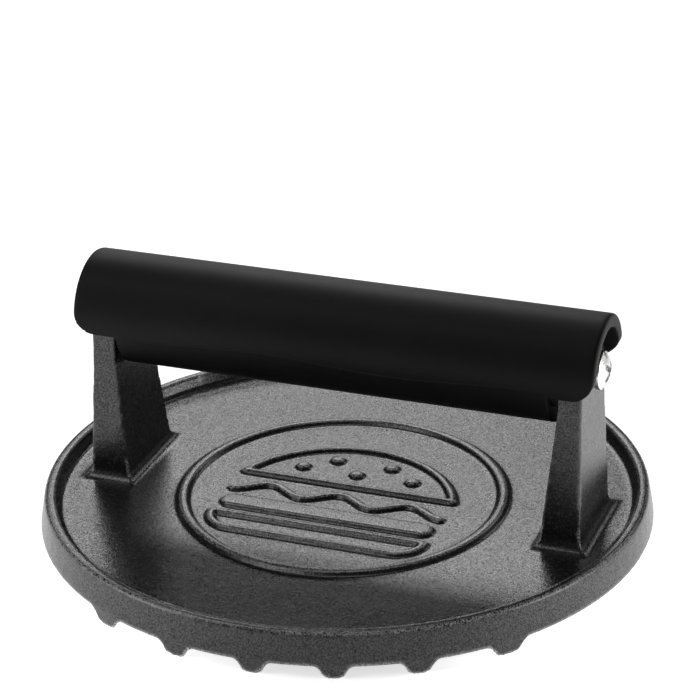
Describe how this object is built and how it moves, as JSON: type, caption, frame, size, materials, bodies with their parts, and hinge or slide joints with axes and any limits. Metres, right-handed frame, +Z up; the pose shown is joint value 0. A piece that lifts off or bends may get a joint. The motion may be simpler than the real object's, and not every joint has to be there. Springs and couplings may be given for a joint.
{
  "type": "patty press",
  "caption": "Round cast-iron patty press with a rimmed top, ridged underside and a bridge handle on two cast posts, wrapped in a black silicone grip.",
  "frame": {"origin": "centre of the round plate, at the level of the ridge crests that it rests on", "axes": "+X along the handle, +Z up from the ridge crests through the plate to the handle, +Y across the handle"},
  "size_m": [0.178, 0.178, 0.0746],
  "materials": {
    "cast_iron": "satin black pre-seasoned iron with a fine pebbled sand-cast grain",
    "silicone": "smooth satin black silicone",
    "core_steel": "drawn steel tube",
    "plug_steel": "turned and zinc plated steel",
    "screw_steel": "bright plated steel",
    "washer_steel": "spring steel, lightly oiled"
  },
  "bodies": {
    "root": {"base_casting": "cast_iron", "core_tube": "core_steel", "core_plug_left": "plug_steel", "core_plug_right": "plug_steel", "screw_left": "screw_steel", "screw_right": "screw_steel", "spring_washer_left": "washer_steel", "spring_washer_right": "washer_steel", "silicone_grip": "silicone"}
  },
  "joints": []
}
